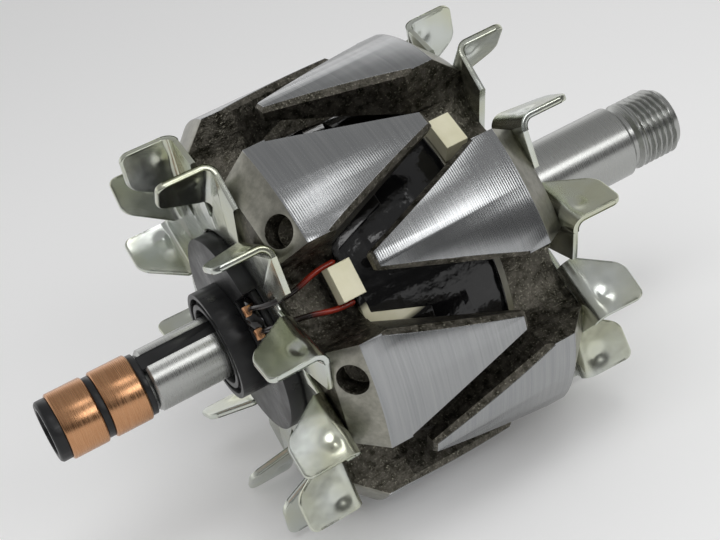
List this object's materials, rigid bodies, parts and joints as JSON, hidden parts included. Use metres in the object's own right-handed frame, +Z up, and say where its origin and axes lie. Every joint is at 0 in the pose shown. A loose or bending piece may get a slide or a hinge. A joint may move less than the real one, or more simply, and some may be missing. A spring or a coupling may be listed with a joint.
{
  "type": "alternator rotor",
  "caption": "Claw-pole alternator rotor: interleaved claws round a field coil, a bladed fan at each end, slip rings on the rear shaft and a threaded drive end.",
  "frame": {"origin": "on the shaft axis in the plane of the front fan's outer face, where the drive-end bearing seat leaves the drum", "axes": "+X along the shaft towards the threaded drive end, +Z up with a front claw on top"},
  "size_m": [0.1577, 0.091, 0.091],
  "materials": {
    "ground_steel": "ground",
    "black_moulding": "moulded gloss",
    "black_resin": "poured gloss",
    "copper": "turned",
    "zinc_plated_sheet": "zinc plated",
    "forged_steel": "forged, turned outside",
    "ivory_nylon": "moulded satin",
    "enamelled_wire": "enamelled",
    "varnished_wrap": "varnished"
  },
  "bodies": {
    "root": {"shaft": "ground_steel", "slip_ring_sleeve": "black_moulding", "outer_slip_ring": "copper", "inner_slip_ring": "copper", "lead_bar": "black_moulding", "lead_collar": "black_moulding", "lead_disc": "black_moulding", "lead_resin": "black_resin", "outer_ring_terminal": "copper", "inner_ring_terminal": "copper", "rear_fan": "zinc_plated_sheet", "rear_pole": "forged_steel", "coil_bobbin": "ivory_nylon", "field_coil": "enamelled_wire", "coil_wrap": "varnished_wrap", "coil_start_lead": "enamelled_wire", "coil_finish_lead": "enamelled_wire", "front_pole": "forged_steel", "front_fan": "zinc_plated_sheet"}
  },
  "joints": []
}
